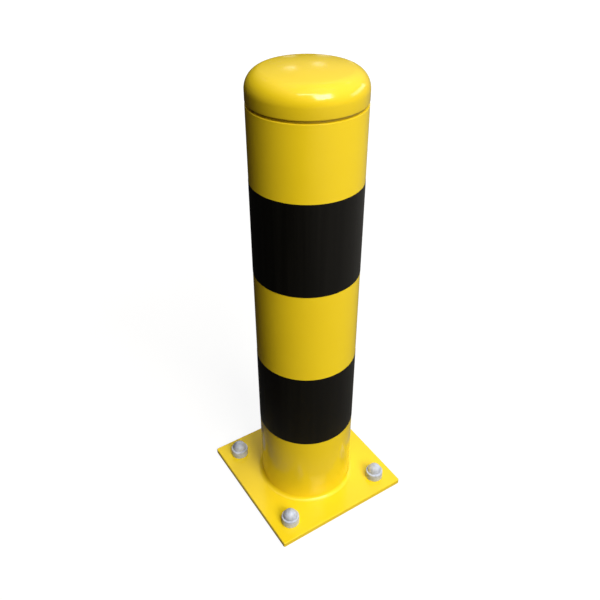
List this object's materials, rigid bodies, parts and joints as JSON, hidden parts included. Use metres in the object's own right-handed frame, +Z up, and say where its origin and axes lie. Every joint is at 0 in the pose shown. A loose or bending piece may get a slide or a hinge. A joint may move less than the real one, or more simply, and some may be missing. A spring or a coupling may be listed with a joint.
{
  "type": "bolt-down bollard",
  "caption": "Round steel crash protection bollard with black bands and a dished top, welded to a square base plate that bolts down, with plastic caps over the anchor nuts.",
  "frame": {"origin": "centre of the base plate's underside, on the post's axis", "axes": "+Z up along the post, +X and +Y square to the base plate's edges"},
  "size_m": [0.3, 0.3, 0.9047],
  "materials": {
    "yellow_powder_coat": "glossy traffic yellow powder coat on steel",
    "black_film": "satin black self-adhesive film",
    "zinc_plate": "bright zinc plated steel",
    "grey_plastic": "moulded light grey plastic"
  },
  "bodies": {
    "post": {"base_plate": "yellow_powder_coat", "post_tube": "yellow_powder_coat", "dome_cap": "yellow_powder_coat", "base_weld": "yellow_powder_coat", "dome_weld": "yellow_powder_coat", "lower_black_band": "black_film", "upper_black_band": "black_film", "anchor_stud_1": "zinc_plate", "anchor_stud_2": "zinc_plate", "anchor_stud_3": "zinc_plate", "anchor_stud_4": "zinc_plate", "washer_1": "zinc_plate", "washer_2": "zinc_plate", "washer_3": "zinc_plate", "washer_4": "zinc_plate", "hex_nut_1": "zinc_plate", "hex_nut_2": "zinc_plate", "hex_nut_3": "zinc_plate", "hex_nut_4": "zinc_plate"},
    "cap_1": {"nut_cap_1": "grey_plastic"},
    "cap_2": {"nut_cap_2": "grey_plastic"},
    "cap_3": {"nut_cap_3": "grey_plastic"},
    "cap_4": {"nut_cap_4": "grey_plastic"}
  },
  "joints": [
    {"name": "cap_1_pull_off", "type": "slide", "parent": "post", "child": "cap_1", "axis": [0, 0, 1], "range_m": [0, 0.04]},
    {"name": "cap_2_pull_off", "type": "slide", "parent": "post", "child": "cap_2", "axis": [0, 0, 1], "range_m": [0, 0.04]},
    {"name": "cap_3_pull_off", "type": "slide", "parent": "post", "child": "cap_3", "axis": [0, 0, 1], "range_m": [0, 0.04]},
    {"name": "cap_4_pull_off", "type": "slide", "parent": "post", "child": "cap_4", "axis": [0, 0, 1], "range_m": [0, 0.04]}
  ]
}
